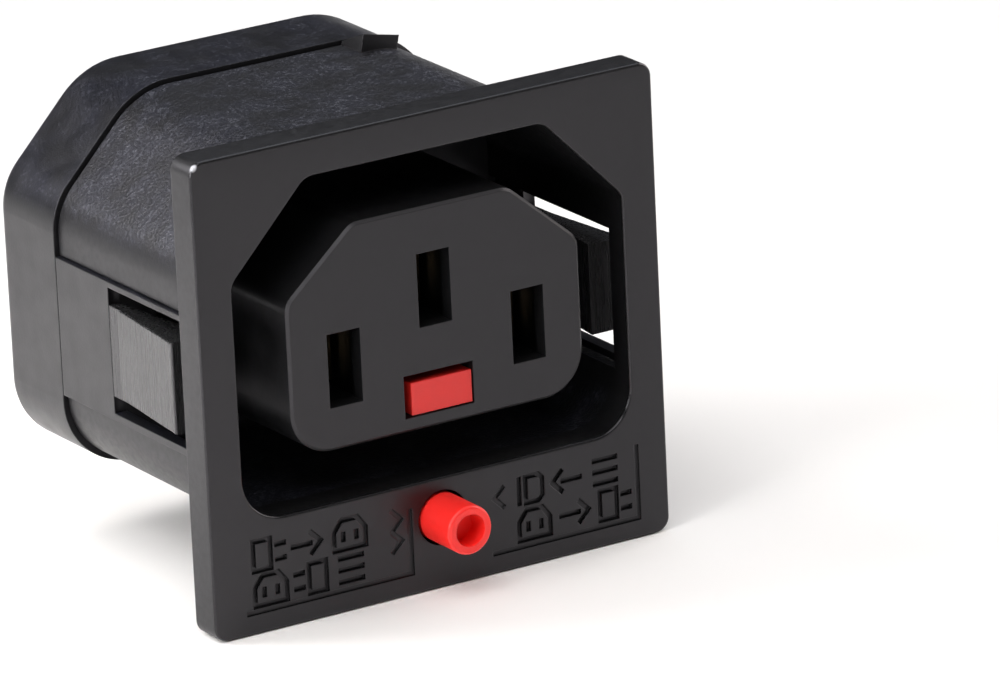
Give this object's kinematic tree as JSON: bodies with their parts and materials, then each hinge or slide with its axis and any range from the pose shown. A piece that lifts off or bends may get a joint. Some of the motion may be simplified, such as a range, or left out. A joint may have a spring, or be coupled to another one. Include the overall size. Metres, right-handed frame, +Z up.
{
  "type": "panel-mount mains outlet with a plug latch",
  "caption": "Snap-in panel outlet for a three-pin mains plug, with a moulded core in a recess, side latches and a push button that frees the plug.",
  "frame": {"origin": "centre of the core's front face, halfway between the line and neutral slots", "axes": "+X to the right seen from the front, +Y into the body, +Z up towards the earth slot"},
  "size_m": [0.035, 0.039, 0.0325],
  "materials": {
    "housing": "black thermoplastic, finely textured on the flange and spark-eroded on the shroud",
    "cover": "black thermoplastic, fine satin texture",
    "core": "black thermoplastic, smooth matte",
    "latch": "black thermoplastic, satin",
    "red_plastic": "bright red thermoplastic, satin",
    "contact_metal": "bare brass strip",
    "spring_steel": "plain spring steel"
  },
  "bodies": {
    "housing": {"front_housing": "housing", "rear_cover": "cover", "socket_core": "core", "line_contact": "contact_metal", "neutral_contact": "contact_metal", "earth_contact": "contact_metal", "return_spring": "spring_steel"},
    "slider": {"release_slider": "red_plastic"},
    "plate": {"lock_plate": "spring_steel"},
    "latch_left": {"panel_latch_left": "latch"},
    "latch_right": {"panel_latch_right": "latch"}
  },
  "joints": [
    {"name": "release_slide", "type": "slide", "parent": "housing", "child": "slider", "axis": [0, 1, 0], "range_m": [0, 0.002], "stiffness_N_per_m": 400, "springref_m": -0.001, "deforming": ["return_spring"]},
    {"name": "lock_plate_cant", "type": "hinge", "parent": "housing", "child": "plate", "pos_m": [0, 0.0125, 0.0081], "axis": [1, 0, 0], "range_deg": [0, 12]},
    {"name": "left_latch_hinge", "type": "hinge", "parent": "housing", "child": "latch_left", "pos_m": [-0.016, 0.01275, 0], "axis": [0, 0, 1], "range_deg": [0, 7], "stiffness_Nm_per_rad": 0.05},
    {"name": "right_latch_hinge", "type": "hinge", "parent": "housing", "child": "latch_right", "pos_m": [0.016, 0.01275, 0], "axis": [0, 0, -1], "range_deg": [0, 7], "stiffness_Nm_per_rad": 0.05}
  ],
  "couplings": [
    {"joint": "lock_plate_cant", "follows": "release_slide", "rad_per_m": 94}
  ]
}
